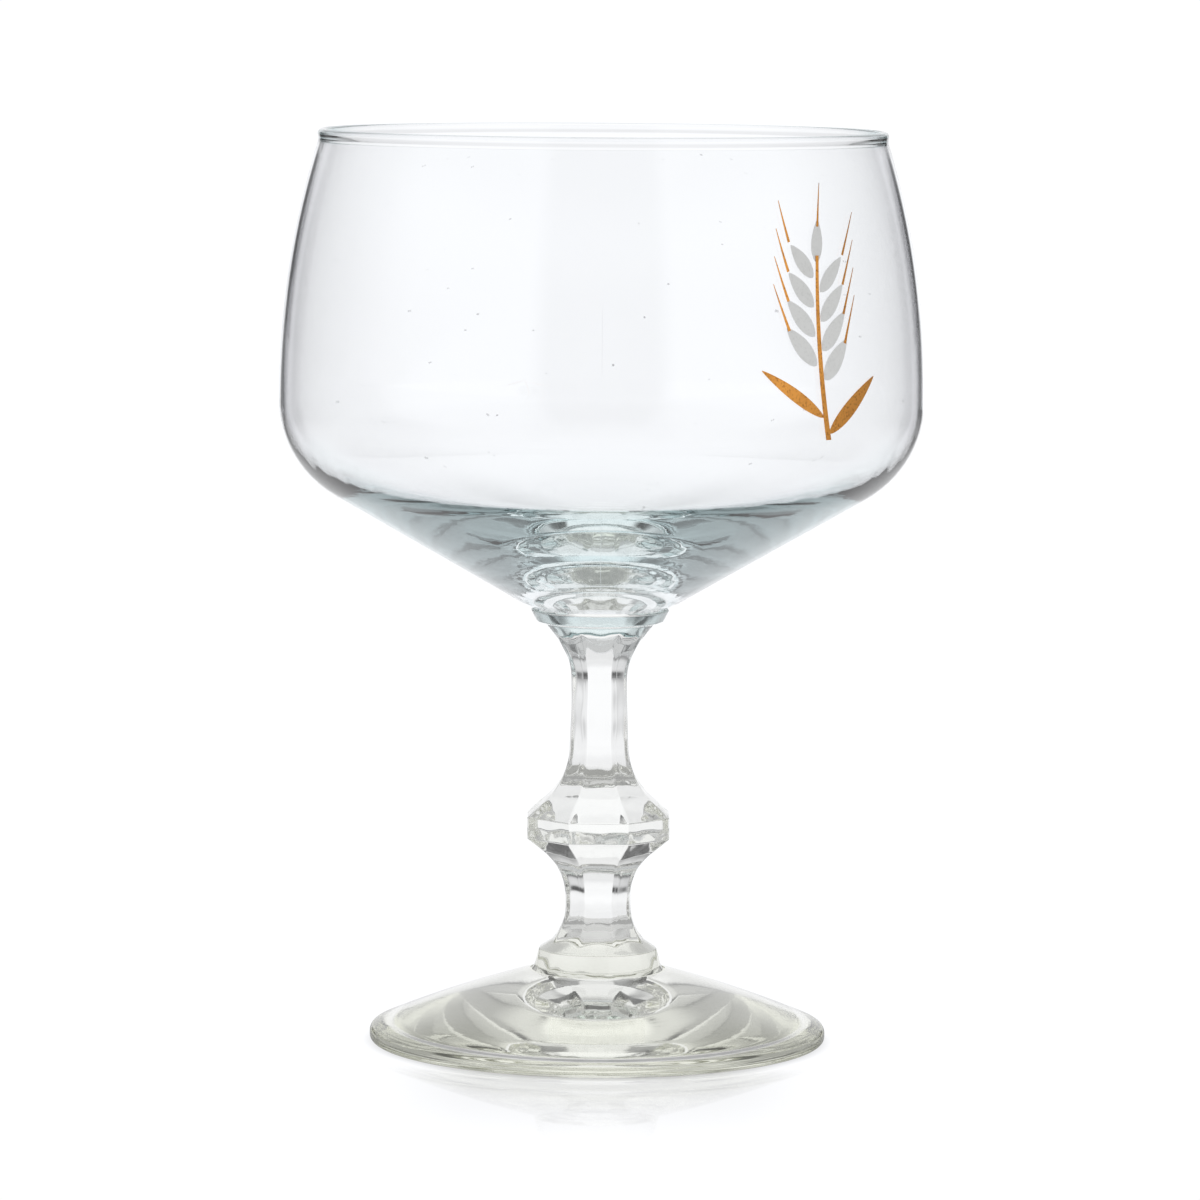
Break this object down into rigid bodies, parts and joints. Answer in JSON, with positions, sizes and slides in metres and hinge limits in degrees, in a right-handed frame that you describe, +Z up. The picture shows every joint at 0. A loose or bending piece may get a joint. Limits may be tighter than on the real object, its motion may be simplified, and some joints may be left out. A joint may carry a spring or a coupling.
{
  "type": "stemmed beer glass",
  "caption": "Clear footed beer goblet with a barrel-shaped bowl, a conical bottom, a faceted stem with a knop and a wide round foot.",
  "frame": {"origin": "on the upright centre line, in the plane of the foot's standing ring, so the glass stands on the table at height 0", "axes": "+Z up along the centre line to the rim; +Y away from the viewer and +X to the viewer's right, with a flat of the stem facing -Y"},
  "size_m": [0.1056, 0.1056, 0.15],
  "materials": {
    "bowl_glass": "polished",
    "stem_glass": "polished",
    "foot_glass": "polished",
    "gold_print": "gloss",
    "grey_print": "satin"
  },
  "bodies": {
    "root": {"bowl": "bowl_glass", "stem": "stem_glass", "foot": "foot_glass"}
  },
  "joints": []
}
